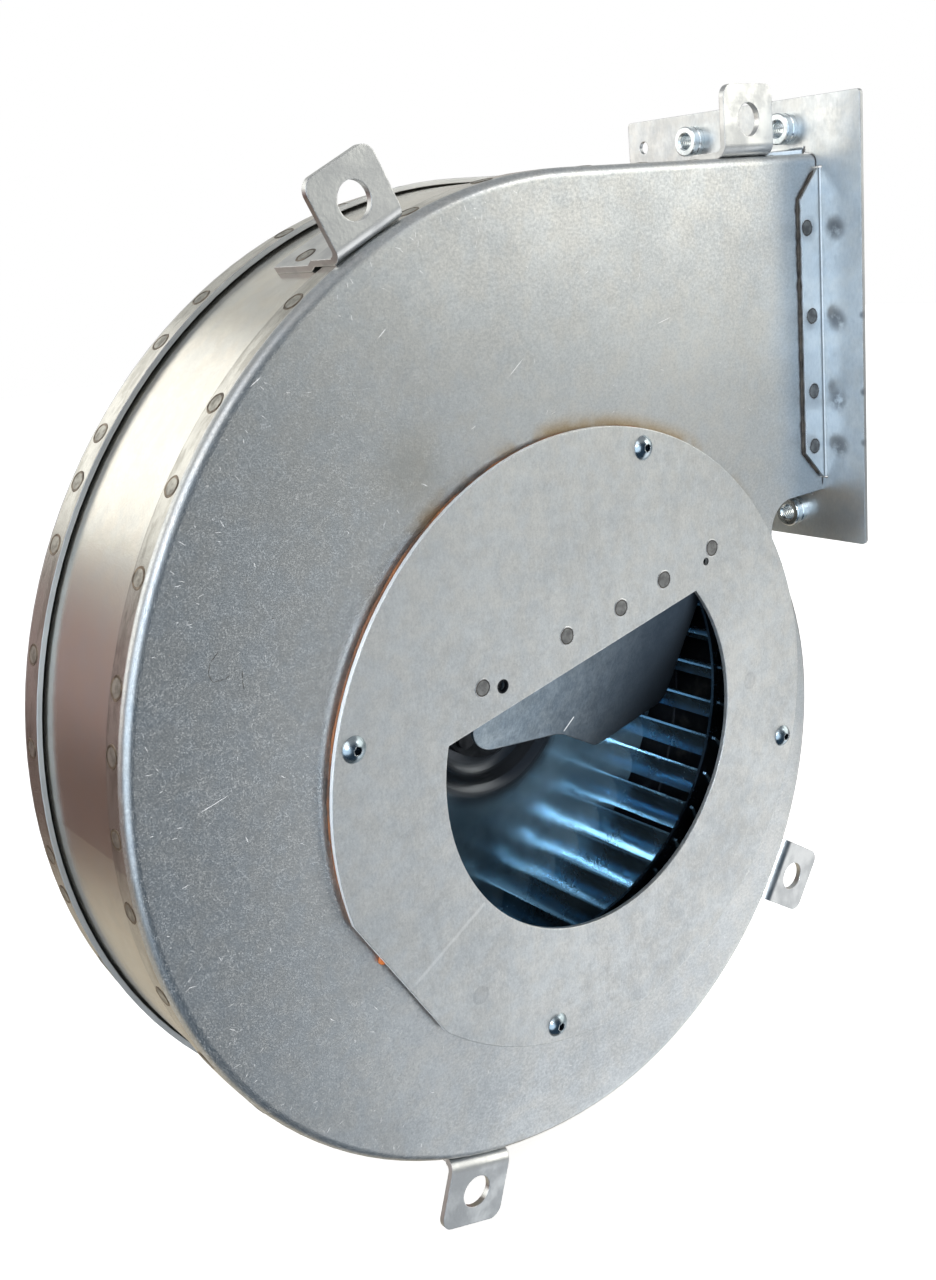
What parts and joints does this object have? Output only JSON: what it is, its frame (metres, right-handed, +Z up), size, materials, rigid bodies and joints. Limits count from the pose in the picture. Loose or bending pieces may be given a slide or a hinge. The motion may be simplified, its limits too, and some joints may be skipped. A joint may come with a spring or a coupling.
{
  "type": "furnace exhaust blower",
  "caption": "Centrifugal exhaust blower with a folded sheet-steel scroll housing, a flanged outlet, a round inlet plate with a deflector flap and a drum impeller on a rear motor.",
  "frame": {"origin": "on the impeller axis, in the outer face of the inlet plate", "axes": "+X out of the outlet, +Y along the axis towards the motor, +Z up"},
  "size_m": [0.2818, 0.1773, 0.3487],
  "materials": {
    "sheet_steel": "satin mill finish",
    "zinc_steel": "bright zinc plate",
    "dark_lacquer": "glossy blue-black lacquer",
    "orange_seal": "matte silicone",
    "dark_seal": "matte fibre",
    "graphite": "matte",
    "bright_steel": "turned",
    "black_steel": "blackened",
    "aluminium": "cast",
    "motor_paint": "satin",
    "laminations": "stacked sheet",
    "copper_wire": "varnished",
    "black_rubber": "matte"
  },
  "bodies": {
    "housing": {"front_side_plate": "sheet_steel", "rear_side_plate": "sheet_steel", "scroll_band": "sheet_steel", "outlet_flange": "sheet_steel", "flange_bushes": "zinc_steel", "lug_upper_left": "zinc_steel", "lug_top": "zinc_steel", "lug_right": "zinc_steel", "lug_bottom": "zinc_steel", "inlet_plate": "sheet_steel", "inlet_seal": "orange_seal", "deflector_flap": "sheet_steel", "inlet_screws": "zinc_steel", "motor_plate": "sheet_steel", "motor_plate_seal": "dark_seal", "motor_plate_screws": "zinc_steel", "shaft_bush": "graphite", "motor_spacers": "zinc_steel", "motor_front_bell": "motor_paint", "motor_shell": "motor_paint", "motor_rear_bell": "motor_paint", "motor_long_bolts": "zinc_steel", "stator_core": "laminations", "stator_windings": "copper_wire", "front_bearing": "bright_steel", "rear_bearing": "bright_steel", "cable_grommet": "black_rubber"},
    "impeller": {"impeller_front_ring": "dark_lacquer", "impeller_blades": "dark_lacquer", "impeller_hub_disc": "dark_lacquer", "impeller_hub": "dark_lacquer", "hub_rivets": "black_steel", "hub_set_screw": "black_steel", "shaft": "bright_steel", "cooling_disc": "aluminium", "rotor_core": "laminations"}
  },
  "joints": [
    {"name": "impeller_spin", "type": "hinge", "parent": "housing", "child": "impeller", "pos_m": [0, 0.1, 0], "axis": [0, 1, 0], "continuous": true}
  ]
}
